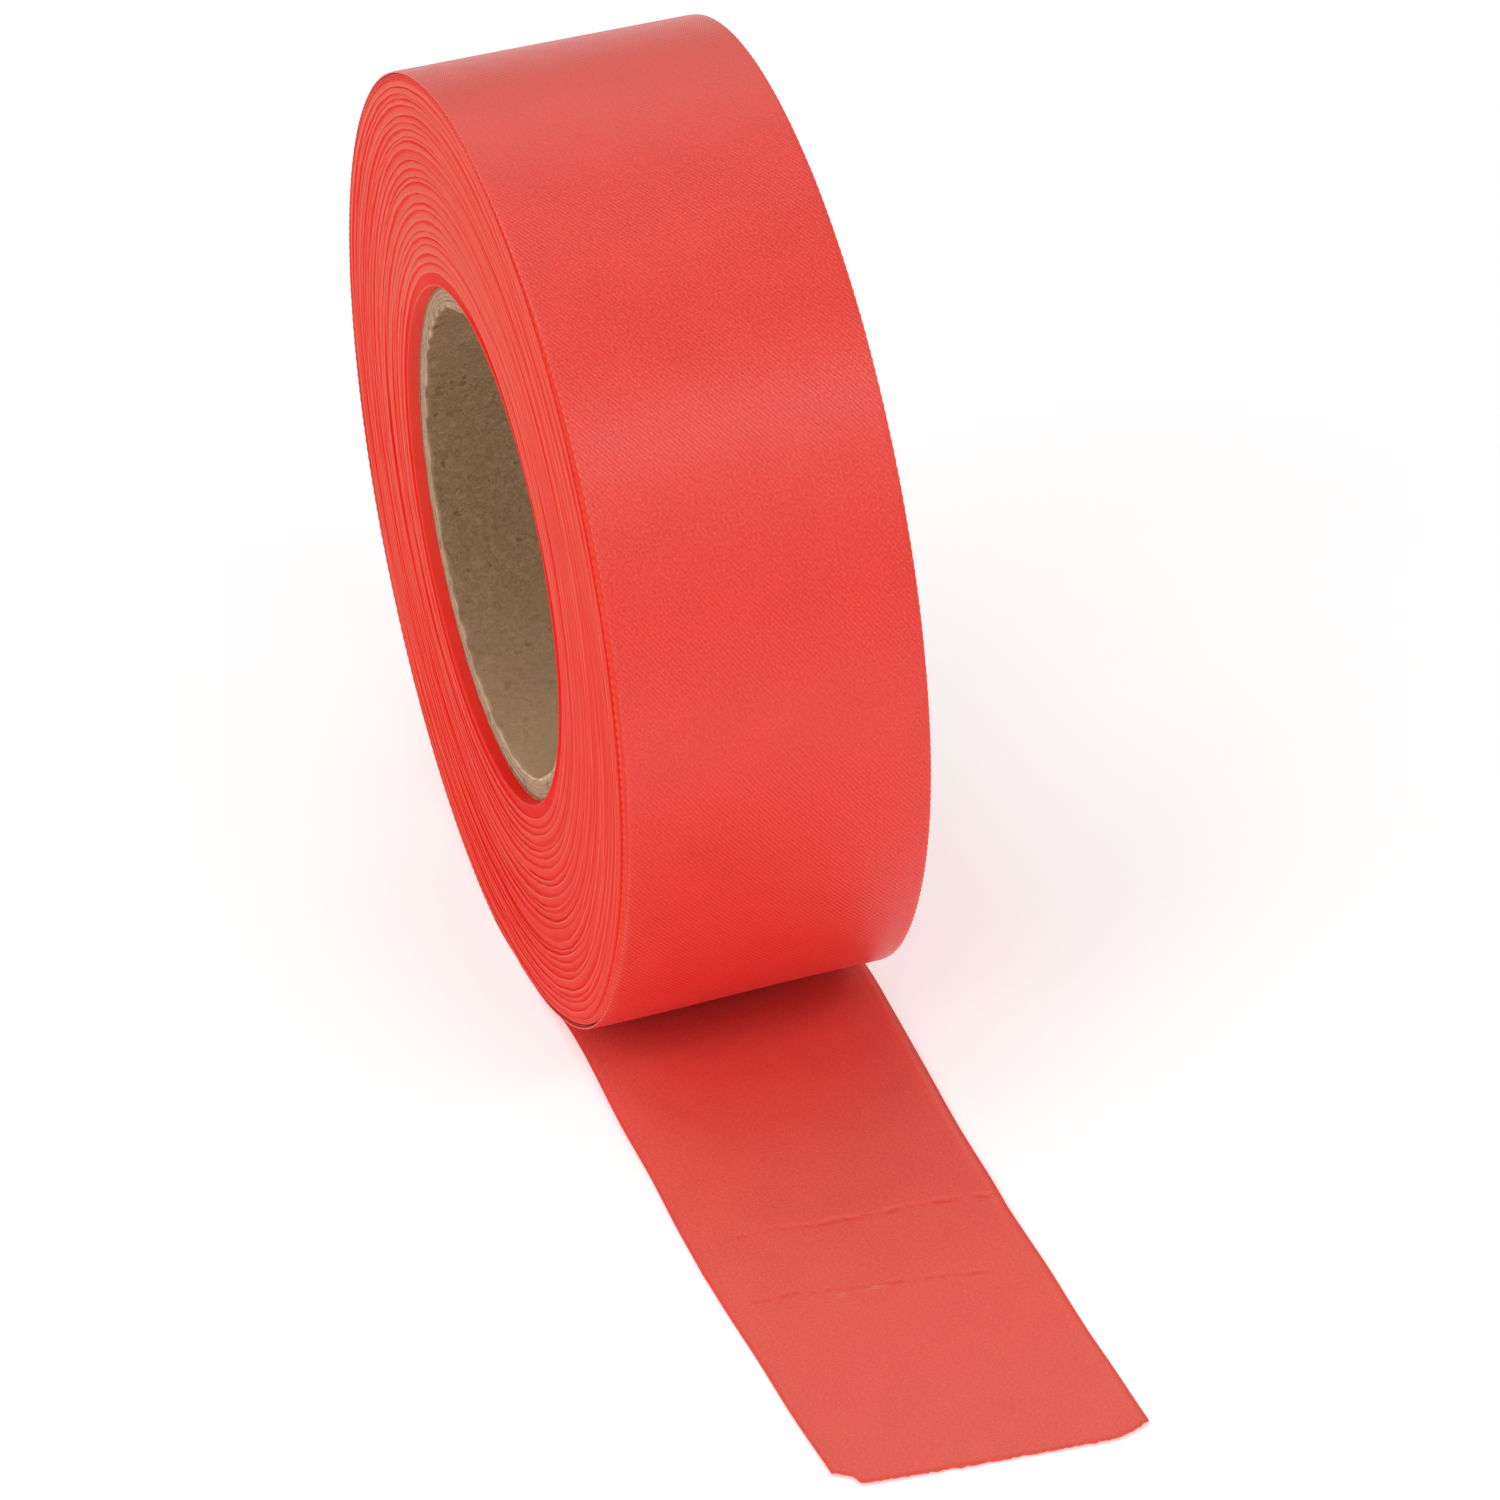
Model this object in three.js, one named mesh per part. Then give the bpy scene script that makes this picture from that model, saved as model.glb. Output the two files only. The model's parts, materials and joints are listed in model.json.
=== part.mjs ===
// A roll of cloth duct tape standing on its rim, with a loose tail lying flat in front of it.
//
// Millimetres. The roll's axis runs along X, +Z is up and the tail runs towards -Y.
// The origin is on the ground, under the middle of the roll's axis.
//
// Seen from its -X face, the tape runs outwards like this: up the front of the roll, over the top,
// down the back, flat under the roll, and out along the ground as the tail.

import * as THREE from "three";

// Driving dimensions.
const tapeWidth = 50;
const tapeThickness = 0.26;
const rollDiameter = 153;
const coreBore = 76;
const linerThickness = 0.5;
const boardThickness = 0.7;
const boardPlies = 4;
const coreSetBack = 2; // how far the core's -X end lies inside the roll's face
const starterThickness = 0.2;
const tailLength = 161.4; // from under the roll's axis to the cut end's -X side
const tailDrift = 0.03; // sideways run of the tail, towards +X, for each millimetre of its length
const cutSlant = 3.4; // how much further the cut end's +X side reaches
const leftChip = { across: 3.2, along: 5.5 }; // snipped off the cut end's -X corner
const rightChip = { across: 7.5, along: 3 }; // snipped off the cut end's +X corner
const tailLinks = 8;
const hingeGap = 0.3;
const firstHinge = 22; // distance of the first hinge in front of the origin
const restFlat = 15; // width of the flat that the roll's weight presses into its rim

// How finely round shapes are divided.
const rimSteps = 96;
const boreSteps = 60;
const starterSteps = 4; // steps of the bore that the starter strip covers

// Sizes that follow from them.
const coreWall = 2 * linerThickness + boardPlies * boardThickness;
const boreRadius = coreBore / 2;
const coreRadius = boreRadius + coreWall;
const rimRadius = rollDiameter / 2;
const axisHeight = Math.sqrt(rimRadius ** 2 - (restFlat / 2) ** 2);
const packRadius = rimRadius - 2 * tapeThickness;
const linkLength = (tailLength - firstHinge) / tailLinks;
const turnStart = restFlat / 2 - 1; // where the outer turn leaves the pack, behind the origin
const faceX = -tapeWidth / 2;

function material(name, color, roughness) {
  return new THREE.MeshStandardMaterial({ name, color, roughness, metalness: 0 });
}

const tapeFace = material("tape_face", 0xdf4440, 0.5);
const tapeEdges = material("tape_edges", 0xe0463c, 0.75);
const kraftLiner = material("kraft_liner", 0x75593c, 0.9);
const greyBoard = material("core_board", 0xb0927a, 0.95);
const starterGlue = material("starter_glue", 0xd9cfa8, 0.6);

// Outlines are drawn in the roll's own cross-section: first coordinate along Y, second along Z.
function sectionPoint(y, z) {
  return new THREE.Vector2(y, z);
}

// A point of the roll at a radius and an angle, measured from straight down towards the front.
function rollPoint(radius, angle) {
  return sectionPoint(-radius * Math.sin(angle), axisHeight - radius * Math.cos(angle));
}

// Points along an arc or a spiral, both ends included.
function arcPoints(startRadius, endRadius, startAngle, endAngle, steps) {
  return Array.from({ length: steps + 1 }, (_, i) => {
    const share = i / steps;
    const radius = THREE.MathUtils.lerp(startRadius, endRadius, share);
    return rollPoint(radius, THREE.MathUtils.lerp(startAngle, endAngle, share));
  });
}

// The angle at which a circle round the axis comes down to a level above the ground.
function levelAngle(radius, level) {
  return Math.acos((axisHeight - level) / radius);
}

// One turn of the tape's spiral, from a level in front of the origin to one layer lower behind it.
function turnPoints(radius, level) {
  const endRadius = radius + tapeThickness;
  const endAngle = 2 * Math.PI - levelAngle(endRadius, level - tapeThickness);
  return arcPoints(radius, endRadius, levelAngle(radius, level), endAngle, rimSteps);
}

function circlePoints(radius) {
  return arcPoints(radius, radius, 0, 2 * Math.PI, boreSteps).slice(0, -1);
}

// A solid that stands on a cross-section outline and runs along X. Outline and hole both arrive
// drawn the same way round, and three.js wants a hole drawn the other way.
function slab(name, finish, outline, hole, startX, endX) {
  const shape = new THREE.Shape(outline);
  if (hole) shape.holes.push(new THREE.Path(hole.reverse()));
  const settings = { depth: endX - startX, bevelEnabled: false };
  const mesh = new THREE.Mesh(new THREE.ExtrudeGeometry(shape, settings), finish);
  mesh.name = name;
  mesh.position.z = startX;
  return mesh;
}

// A cross-section frame: its x is the part's Y, its y the part's Z and its z the part's X.
function sectionGroup() {
  const group = new THREE.Group();
  group.rotation.set(Math.PI / 2, Math.PI / 2, 0);
  return group;
}

function corePly(name, finish, innerRadius, thickness) {
  const outline = circlePoints(innerRadius + thickness);
  const hole = circlePoints(innerRadius);
  return slab(name, finish, outline, hole, faceX + coreSetBack, -faceX);
}

// The cardboard core: plies of board between two liners, wound and glued into one tube.
function core() {
  const group = sectionGroup();
  group.add(corePly("core_liner_inner", kraftLiner, boreRadius, linerThickness));
  for (let i = 0; i < boardPlies; i += 1) {
    const radius = boreRadius + linerThickness + i * boardThickness;
    group.add(corePly(`core_board_${i + 1}`, greyBoard, radius, boardThickness));
  }
  const outerLiner = coreRadius - linerThickness;
  group.add(corePly("core_liner_outer", kraftLiner, outerLiner, linerThickness));
  return group;
}

// The outer side of the starter strip, which the first turn of tape climbs over.
function starterTop() {
  const end = (starterSteps / boreSteps) * 2 * Math.PI;
  const radius = coreRadius + starterThickness;
  return arcPoints(radius, radius, 0, end, starterSteps);
}

// The strip that holds the first turn of tape on the core.
function starterStrip() {
  const underside = circlePoints(coreRadius).slice(0, starterSteps + 1);
  const outline = [...underside, ...starterTop().reverse()];
  return slab("starter_strip", starterGlue, outline, null, faceX + coreSetBack, -faceX);
}

// The wound tape under the outer turn, with the step where the outer turn leaves it.
function woundTape() {
  const outline = [
    ...turnPoints(packRadius, 2 * tapeThickness),
    sectionPoint(turnStart, tapeThickness),
    sectionPoint(turnStart, 2 * tapeThickness),
  ];
  const hole = [...starterTop(), ...circlePoints(coreRadius).slice(starterSteps)];
  return slab("wound_tape", tapeEdges, outline, hole, faceX, -faceX);
}

// The last full turn, which comes down the back and runs on into the tail's root.
function outerTurn() {
  const inner = turnPoints(packRadius, 2 * tapeThickness);
  const outer = turnPoints(packRadius + tapeThickness, tapeThickness);
  const outline = [
    sectionPoint(turnStart, 2 * tapeThickness),
    ...inner,
    ...outer.reverse(),
    sectionPoint(turnStart, tapeThickness),
  ];
  return slab("outer_turn", tapeFace, outline, null, faceX, -faceX);
}

// The stretch of tape that the roll stands on.
function tailRoot() {
  const backTop = turnPoints(packRadius, 2 * tapeThickness).at(-1);
  const outline = [
    sectionPoint(hingeGap / 2 - firstHinge, 0),
    sectionPoint(restFlat / 2, 0),
    backTop,
    sectionPoint(hingeGap / 2 - firstHinge, tapeThickness),
  ];
  return slab("tail_root", tapeFace, outline, null, faceX, -faceX);
}

// A point of a link: across from the tape's middle line, and along from the link's own hinge.
function linkPoint(across, along) {
  return new THREE.Vector2(across - along * tailDrift, along);
}

// The cut across the tail's end, from the -X edge: slightly askew, with both corners snipped.
function cutPoints() {
  const half = tapeWidth / 2;
  const slope = cutSlant / tapeWidth;
  const cutAlong = (across) => -linkLength - (across + half) * slope;
  const leftAcross = leftChip.across - half;
  const rightAcross = half - rightChip.across;
  return [
    linkPoint(-half, cutAlong(-half) + leftChip.along),
    linkPoint(leftAcross, cutAlong(leftAcross)),
    linkPoint(rightAcross, cutAlong(rightAcross)),
    linkPoint(half, cutAlong(half) + rightChip.along),
  ];
}

// One link of the tail, drawn from its own hinge and drifting sideways as it runs forwards.
function tailLink(index) {
  const near = -hingeGap / 2;
  const far = hingeGap / 2 - linkLength;
  const half = tapeWidth / 2;
  const straightEnd = [linkPoint(-half, far), linkPoint(half, far)];
  const outline = [
    linkPoint(-half, near),
    ...(index === tailLinks ? cutPoints() : straightEnd),
    linkPoint(half, near),
  ];
  const settings = { depth: tapeThickness, bevelEnabled: false };
  const geometry = new THREE.ExtrudeGeometry(new THREE.Shape(outline), settings);
  const mesh = new THREE.Mesh(geometry, tapeFace);
  mesh.name = `tail_link_${index}`;
  return mesh;
}

// The free tail: links that each hang on the one before.
function tail() {
  const group = new THREE.Group();
  group.position.y = -firstHinge;
  let hinge = group;
  for (let index = 1; index <= tailLinks; index += 1) {
    hinge.add(tailLink(index));
    const next = new THREE.Group();
    next.position.set(linkLength * tailDrift, -linkLength, 0);
    hinge.add(next);
    hinge = next;
  }
  return group;
}

const roll = sectionGroup();
roll.add(starterStrip(), woundTape(), outerTurn(), tailRoot());

const tapeRoll = new THREE.Group();
tapeRoll.name = "tape_roll";
tapeRoll.add(core(), roll, tail());

export default tapeRoll;
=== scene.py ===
# A roll of red woven tape on a cardboard core, standing on its rim with a loose tail in front of it.
#
# Metres, in the CAD frame: the roll's axis runs along X, +Z is up, the tail runs towards -Y, and the
# origin is on the ground under the middle of the axis. Angles round the roll start straight down and
# grow towards the front, which is the way the tape climbs.

import json
import math

import bpy
import numpy as np
from mathutils import Matrix, Vector


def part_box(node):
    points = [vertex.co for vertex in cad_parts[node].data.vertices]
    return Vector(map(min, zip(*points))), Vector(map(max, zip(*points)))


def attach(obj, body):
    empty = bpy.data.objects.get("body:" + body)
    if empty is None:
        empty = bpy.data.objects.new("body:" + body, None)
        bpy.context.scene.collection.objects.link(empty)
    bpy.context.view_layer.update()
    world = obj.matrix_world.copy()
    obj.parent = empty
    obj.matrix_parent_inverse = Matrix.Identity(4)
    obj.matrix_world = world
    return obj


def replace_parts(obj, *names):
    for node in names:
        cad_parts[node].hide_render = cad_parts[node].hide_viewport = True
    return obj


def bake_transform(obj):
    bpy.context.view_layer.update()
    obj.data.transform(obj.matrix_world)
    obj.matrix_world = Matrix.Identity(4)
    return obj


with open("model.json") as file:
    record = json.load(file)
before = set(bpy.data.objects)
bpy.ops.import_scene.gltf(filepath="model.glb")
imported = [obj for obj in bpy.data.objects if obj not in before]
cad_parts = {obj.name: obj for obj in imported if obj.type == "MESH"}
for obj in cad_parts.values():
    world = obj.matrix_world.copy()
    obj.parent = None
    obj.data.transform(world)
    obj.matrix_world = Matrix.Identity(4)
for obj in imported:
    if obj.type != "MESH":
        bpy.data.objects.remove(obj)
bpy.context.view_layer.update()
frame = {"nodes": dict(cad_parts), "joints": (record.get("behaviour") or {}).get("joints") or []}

MM = 0.001
TURN = 2 * math.pi


# ---------------------------------------------------------------------------- sizes from the frame

BORE_LOW, BORE_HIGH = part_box("core_liner_inner")
PACK_LOW, PACK_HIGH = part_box("wound_tape")
AXIS_HEIGHT = (BORE_LOW.z + BORE_HIGH.z) / 2


def ring_radii(node):
    """The smallest and largest distance of a CAD node's corners from the roll's axis."""
    corners = np.array([v.co for v in frame["nodes"][node].data.vertices])
    radii = np.hypot(corners[:, 1], corners[:, 2] - AXIS_HEIGHT)
    return float(radii.min()), float(radii.max())


CORE_LEFT, CORE_RIGHT = BORE_LOW.x, BORE_HIGH.x
CORE_RADIUS = ring_radii("core_liner_outer")[1]
RIM_RADIUS = ring_radii("outer_turn")[1]
LEFT, RIGHT = PACK_LOW.x, PACK_HIGH.x
HALF_WIDTH = (RIGHT - LEFT) / 2

ROOT_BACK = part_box("tail_root")[1].y
LINK_LOW, LINK_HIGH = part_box("tail_link_1")
THICKNESS = LINK_HIGH.z - LINK_LOW.z
PACK_RADIUS = RIM_RADIUS - 2 * THICKNESS
HINGES = [Vector(joint["pos_m"]) for joint in frame["joints"]]
LINK_LENGTH = HINGES[0].y - HINGES[1].y
CUT_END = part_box(f"tail_link_{len(HINGES)}")[0].y


# ------------------------------------------------------------------------------ shapes and meshes


def round_axis(radius, angle, across):
    """Points at a radius and an angle round the roll, and at a place along X."""
    along = -radius * np.sin(angle)
    up = AXIS_HEIGHT - radius * np.cos(angle)
    return np.stack(np.broadcast_arrays(across, along, up), axis=-1)


def smooth(value, start, end):
    """0 up to start, 1 from end on, and a smooth climb between them."""
    share = np.clip((value - start) / (end - start), 0, 1)
    return share * share * (3 - 2 * share)


def hump(value, middle, width):
    """A soft bump of height 1."""
    return np.exp(-(((value - middle) / width) ** 2))


def ripple(random, angles, lowest, highest):
    """A smooth random line round the roll, mostly from -1 to 1, with so many waves in a turn."""
    waves = np.arange(lowest, highest + 1)
    heights = random.uniform(0.3, 1, len(waves))
    phases = random.uniform(0, TURN, len(waves))
    line = np.cos(np.outer(angles, waves) + phases) @ heights
    return line / np.sqrt((heights**2).sum())


def swell(random, x, y, longest, shortest, count=14):
    """A smooth random surface, mostly from -1 to 1, made of waves between two lengths."""
    total = np.zeros(np.broadcast(x, y).shape)
    for _ in range(count):
        step = TURN / random.uniform(shortest, longest)
        heading = random.uniform(0, math.pi)
        phase = random.uniform(0, TURN)
        total = total + np.cos(step * (x * math.cos(heading) + y * math.sin(heading)) + phase)
    return total / math.sqrt(count)


def grid_quads(rows, columns, close_rows=False, close_columns=False):
    """The quads of a grid of points that is numbered row by row."""
    row = np.arange(rows if close_rows else rows - 1)[:, None]
    column = np.arange(columns if close_columns else columns - 1)[None, :]
    next_row = (row + 1) % rows
    next_column = (column + 1) % columns
    corners = [
        row * columns + column,
        next_row * columns + column,
        next_row * columns + next_column,
        row * columns + next_column,
    ]
    return np.stack(np.broadcast_arrays(*corners), axis=-1).reshape(-1, 4)


def turned_outwards(points, quads):
    """The quads of a closed mesh, wound so that their normals point out of it."""
    a, b, c, d = (points[quads[:, i]] for i in range(4))
    volume = (np.cross(b - a, c - a) * a).sum() + (np.cross(c - a, d - a) * a).sum()
    return quads if volume > 0 else quads[:, ::-1]


SHARP_ANGLE = math.radians(40)  # edges that bend more than this are shaded as sharp


def add_object(name, data):
    added = bpy.data.objects.new(name, data)
    bpy.context.scene.collection.objects.link(added)
    return added


def make_piece(name, points, quads, finishes, values, face_finish=None):
    """A smooth shaded mesh object. values are (name, number or vector for each point)."""
    points = points.reshape(-1, 3)
    mesh = bpy.data.meshes.new(name)
    mesh.from_pydata(points, [], turned_outwards(points, quads))
    for finish in finishes:
        mesh.materials.append(finish)
    if face_finish is not None:
        mesh.polygons.foreach_set("material_index", face_finish)
    for label, numbers in values:
        is_vector = np.ndim(numbers) > 1 and np.shape(numbers)[-1] == 3
        kind, key = ("FLOAT_VECTOR", "vector") if is_vector else ("FLOAT", "value")
        attribute = mesh.attributes.new(label, kind, "POINT")
        attribute.data.foreach_set(key, np.asarray(numbers, np.float32).ravel())
    mesh.shade_smooth()
    mesh.set_sharp_from_angle(angle=SHARP_ANGLE)
    return add_object(name, mesh)


def make_ring(name, radius, across, angles, finish, values, reshape=None):
    """A closed ring round the axis, from a closed section at each angle."""
    points = round_axis(radius, angles[:, None], across)
    if reshape is not None:
        points = reshape(points)
    quads = grid_quads(*points.shape[:2], close_rows=True, close_columns=True)
    return make_piece(name, points, quads, [finish], values)


def make_strip(name, top, bottom, finishes, values):
    """A closed strip of cloth between two grids of points. The bottom gets the second finish."""
    rows, columns = top.shape[:2]
    points = np.concatenate([top, bottom[:, ::-1]], axis=1)
    around = 2 * columns
    near = np.arange(columns - 1)
    first_cap = np.stack([near, near + 1, around - 2 - near, around - 1 - near], axis=-1)
    last_cap = first_cap[:, ::-1] + (rows - 1) * around
    quads = np.concatenate([grid_quads(rows, around, close_columns=True), first_cap, last_cap])
    column = np.arange(around)
    is_bottom = (column >= columns) & (column < around - 1)
    face_finish = np.zeros(len(quads), np.int32)
    face_finish[: (rows - 1) * around] = np.tile(is_bottom, rows - 1)
    doubled = [
        (label, np.concatenate([numbers, numbers[:, ::-1]], axis=1)) for label, numbers in values
    ]
    return make_piece(name, points, quads, finishes, doubled, face_finish)


# ---------------------------------------------------------------------------------------- materials


class Finish:
    """A material under construction: adds nodes and links them to the shader."""

    def __init__(self, name, roughness, specular=0.3):
        self.material = bpy.data.materials.new(name)
        self.material.use_nodes = True
        self.tree = self.material.node_tree
        self.shader = self.tree.nodes["Principled BSDF"]
        self.shader.inputs["Roughness"].default_value = roughness
        self.shader.inputs["Specular IOR Level"].default_value = specular

    def put(self, node, socket, value):
        """Sets a socket to a number or colour, or links it to another node's output."""
        target = node.inputs[socket]
        if isinstance(value, bpy.types.NodeSocket):
            self.tree.links.new(value, target)
        else:
            target.default_value = value

    def add(self, kind, sockets, output=0, **settings):
        """Adds a node, fills its sockets and returns one output."""
        node = self.tree.nodes.new(kind)
        for key, value in settings.items():
            setattr(node, key, value)
        for socket, value in sockets.items():
            self.put(node, socket, value)
        return node.outputs[output]

    def math(self, operation, first, second=0.0, third=0.0):
        sockets = {0: first, 1: second, 2: third}
        return self.add("ShaderNodeMath", sockets, operation=operation)

    def attribute(self, name, output="Fac"):
        return self.add("ShaderNodeAttribute", {}, output, attribute_name=name)

    def noise(self, place, scale, detail=2.0, roughness=0.5, distortion=0.0):
        sockets = {
            "Vector": place,
            "Scale": scale,
            "Detail": detail,
            "Roughness": roughness,
            "Distortion": distortion,
        }
        return self.add("ShaderNodeTexNoise", sockets)

    def stretched(self, place, x, y, z):
        """A place scaled by a different factor along each axis."""
        sockets = {0: place, 1: (x, y, z)}
        return self.add("ShaderNodeVectorMath", sockets, operation="MULTIPLY")

    def ramp(self, value, *stops):
        """A colour ramp through (position, colour) stops."""
        node = self.tree.nodes.new("ShaderNodeValToRGB")
        elements = node.color_ramp.elements
        while len(elements) < len(stops):
            elements.new(1.0)
        for element, (position, color) in zip(elements, stops):
            element.position = position
            element.color = (*color, 1)
        self.put(node, 0, value)
        return node.outputs[0]

    def mix(self, share, first, second, blend="MIX"):
        node = self.tree.nodes.new("ShaderNodeMix")
        node.data_type = "RGBA"
        node.blend_type = blend
        first = (*first, 1) if isinstance(first, tuple) else first
        second = (*second, 1) if isinstance(second, tuple) else second
        for socket, value in (("Factor_Float", share), ("A_Color", first), ("B_Color", second)):
            target = next(i for i in node.inputs if i.identifier == socket)
            if isinstance(value, bpy.types.NodeSocket):
                self.tree.links.new(value, target)
            else:
                target.default_value = value
        return next(o for o in node.outputs if o.identifier == "Result_Color")

    def span(self, value, low, high):
        """A value from 0 to 1, moved to between low and high."""
        sockets = {"Value": value, "To Min": low, "To Max": high}
        return self.add("ShaderNodeMapRange", sockets)

    def bump(self, height, distance, strength=1.0, under=None):
        sockets = {"Height": height, "Distance": distance, "Strength": strength}
        if under is not None:
            sockets["Normal"] = under
        return self.add("ShaderNodeBump", sockets)

    def finish(self, color, normal, roughness=None):
        self.put(self.shader, "Base Color", color)
        self.put(self.shader, "Normal", normal)
        if roughness is not None:
            self.put(self.shader, "Roughness", roughness)
        return self.material


# Reds of the dyed cloth, from the deepest red, used for painted shade in folds, grooves and under the
# roll, to the worn pale fibres on its edges, which also serve as painted highlights.
DEEP_RED = (0.86, 0.012, 0.006)
SATIN_RED = (0.88, 0.040, 0.031)
EDGE_RED = (0.88, 0.052, 0.030)
MATTE_RED = (0.92, 0.108, 0.078)
PALE_RED = (0.90, 0.16, 0.11)
WORN_AND_PAINTED_LIGHT_RED = (0.94, 0.25, 0.19)

TWILL_PITCH = 0.6 * MM
TWILL_ANGLE = math.radians(54.6)  # of the twill's lines, from straight across the tape
YARN_PITCH = 0.22 * MM


def twill_height(cloth, place):
    """The relief of the satin's slanted lines and of the yarns across them, about 0 to 1."""
    parts = cloth.tree.nodes.new("ShaderNodeSeparateXYZ")
    cloth.put(parts, 0, place)
    along, across = parts.outputs[0], parts.outputs[1]
    wander = cloth.span(cloth.noise(place, 160.0, 2.0), -0.35 * TWILL_PITCH, 0.35 * TWILL_PITCH)
    slanted = cloth.math("MULTIPLY", across, math.sin(TWILL_ANGLE))
    slanted = cloth.math("MULTIPLY_ADD", along, math.cos(TWILL_ANGLE), slanted)
    slanted = cloth.math("ADD", slanted, wander)
    twill = cloth.math("SINE", cloth.math("MULTIPLY", slanted, TURN / TWILL_PITCH))
    yarns = cloth.math("SINE", cloth.math("MULTIPLY", across, TURN / YARN_PITCH))
    weave = cloth.math("MULTIPLY_ADD", yarns, 0.25, twill)
    return cloth.math("MULTIPLY_ADD", weave, 0.4, 0.5)


def satin_cloth():
    """The tape's face: a tight warp satin whose floats line up in fine steep diagonals."""
    cloth = Finish("satin_cloth", 0.38, 0.45)
    cloth.shader.inputs["Sheen Weight"].default_value = 0.04
    cloth.shader.inputs["Sheen Roughness"].default_value = 0.4
    place = cloth.attribute("tape_place", "Vector")
    weave_height = twill_height(cloth, place)
    slubs = cloth.noise(cloth.stretched(place, 300.0, 2200.0, 1.0), 1.0, 3.0, 0.6)
    grain = cloth.noise(place, 2200.0, 2.0, 0.6)
    blotches = cloth.noise(place, 90.0, 3.0, 0.55)
    color = cloth.ramp(
        blotches,
        (0.25, tuple(0.94 * c for c in SATIN_RED)),
        (0.75, (SATIN_RED[0] * 1.05, SATIN_RED[1] * 1.25, SATIN_RED[2] * 1.25)),
    )
    color = cloth.mix(cloth.span(weave_height, 0.0, 0.07), color, PALE_RED)
    color = cloth.mix(cloth.span(slubs, 0.0, 0.30), color, DEEP_RED)
    color = cloth.mix(cloth.span(grain, -0.60, 0.90), color, PALE_RED)
    specks = cloth.add(
        "ShaderNodeTexVoronoi", {"Vector": place, "Scale": 42.0}, "Distance", feature="F1"
    )
    speck = cloth.math("LESS_THAN", specks, 0.012)
    color = cloth.mix(cloth.math("MULTIPLY", speck, 0.55), color, PALE_RED)
    # Mixed in from the mesh: paleness for worn edges and painted light, then a deeper red that is
    # painted shade.
    color = cloth.mix(cloth.attribute("pale"), color, PALE_RED)
    color = cloth.mix(cloth.attribute("painted_shade"), color, DEEP_RED)
    normal = cloth.bump(slubs, 0.05 * MM, 0.5)
    normal = cloth.bump(weave_height, 0.035 * MM, 1.0, normal)
    gloss = cloth.span(weave_height, 0.52, 0.22)  # the floats shine and the gaps between them don't
    roughness = cloth.math("ADD", gloss, cloth.span(blotches, -0.03, 0.03))
    return cloth.finish(color, normal, roughness)


def matte_cloth():
    """The tape's back: the same cloth, dull and even, with fine grain and faint blotches."""
    cloth = Finish("matte_cloth", 0.75, 0.2)
    cloth.shader.inputs["Sheen Weight"].default_value = 0.12
    cloth.shader.inputs["Sheen Roughness"].default_value = 0.5
    place = cloth.attribute("tape_place", "Vector")
    grain = cloth.noise(place, 2200.0, 2.0, 0.6)
    blotches = cloth.noise(place, 110.0, 4.0, 0.6)
    yarns = cloth.noise(cloth.stretched(place, 4200.0, 900.0, 1.0), 1.0, 2.0, 0.5)
    color = cloth.ramp(
        blotches,
        (0.3, tuple(0.94 * c for c in MATTE_RED)),
        (0.7, (MATTE_RED[0], MATTE_RED[1] * 1.05, MATTE_RED[2] * 1.05)),
    )
    color = cloth.mix(cloth.span(grain, -0.50, 0.80), color, WORN_AND_PAINTED_LIGHT_RED)
    color = cloth.mix(cloth.span(yarns, -0.10, 0.26), color, DEEP_RED)
    # Mixed in from the mesh: paleness for worn edges and painted light, then a deeper red that is
    # painted shade.
    color = cloth.mix(cloth.attribute("pale"), color, WORN_AND_PAINTED_LIGHT_RED)
    color = cloth.mix(cloth.attribute("painted_shade"), color, DEEP_RED)
    normal = cloth.bump(grain, 0.05 * MM, 0.6)
    normal = cloth.bump(yarns, 0.04 * MM, 0.5, normal)
    roughness = cloth.span(blotches, 0.68, 0.82)
    return cloth.finish(color, normal, roughness)


def cloth_edges():
    """The roll's side: hundreds of cut edges, with painted highlights where they stand proud and
    painted shade in between.
    """
    cloth = Finish("cloth_edges", 0.7, 0.1)
    cloth.shader.inputs["Sheen Weight"].default_value = 0.02
    place = cloth.add("ShaderNodeTexCoord", {}, "Object")
    turns = cloth.attribute("turns")
    turn_wave = cloth.math("SINE", cloth.math("MULTIPLY", turns, TURN))
    fuzz = cloth.noise(place, 3200.0, 3.0, 0.65)
    patches = cloth.noise(place, 140.0, 3.0, 0.6)
    # The pale attribute holds painted highlights on proud edges and painted shade in grooves, and the
    # paler scallops of the last turns' edges.
    pale = cloth.attribute("pale")
    lift = cloth.math("MULTIPLY_ADD", turn_wave, 0.12, pale)
    lift = cloth.math("ADD", lift, cloth.span(fuzz, -0.15, 0.15))
    lift = cloth.math("ADD", lift, cloth.span(patches, -0.08, 0.08))
    color = cloth.ramp(lift, (0.0, DEEP_RED), (0.45, EDGE_RED), (1.0, PALE_RED))
    normal = cloth.bump(fuzz, 0.06 * MM, 0.5)
    wave_height = cloth.math("MULTIPLY_ADD", turn_wave, 0.5, 0.5)
    normal = cloth.bump(wave_height, 0.04 * MM, 0.5, normal)
    return cloth.finish(color, normal)


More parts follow.
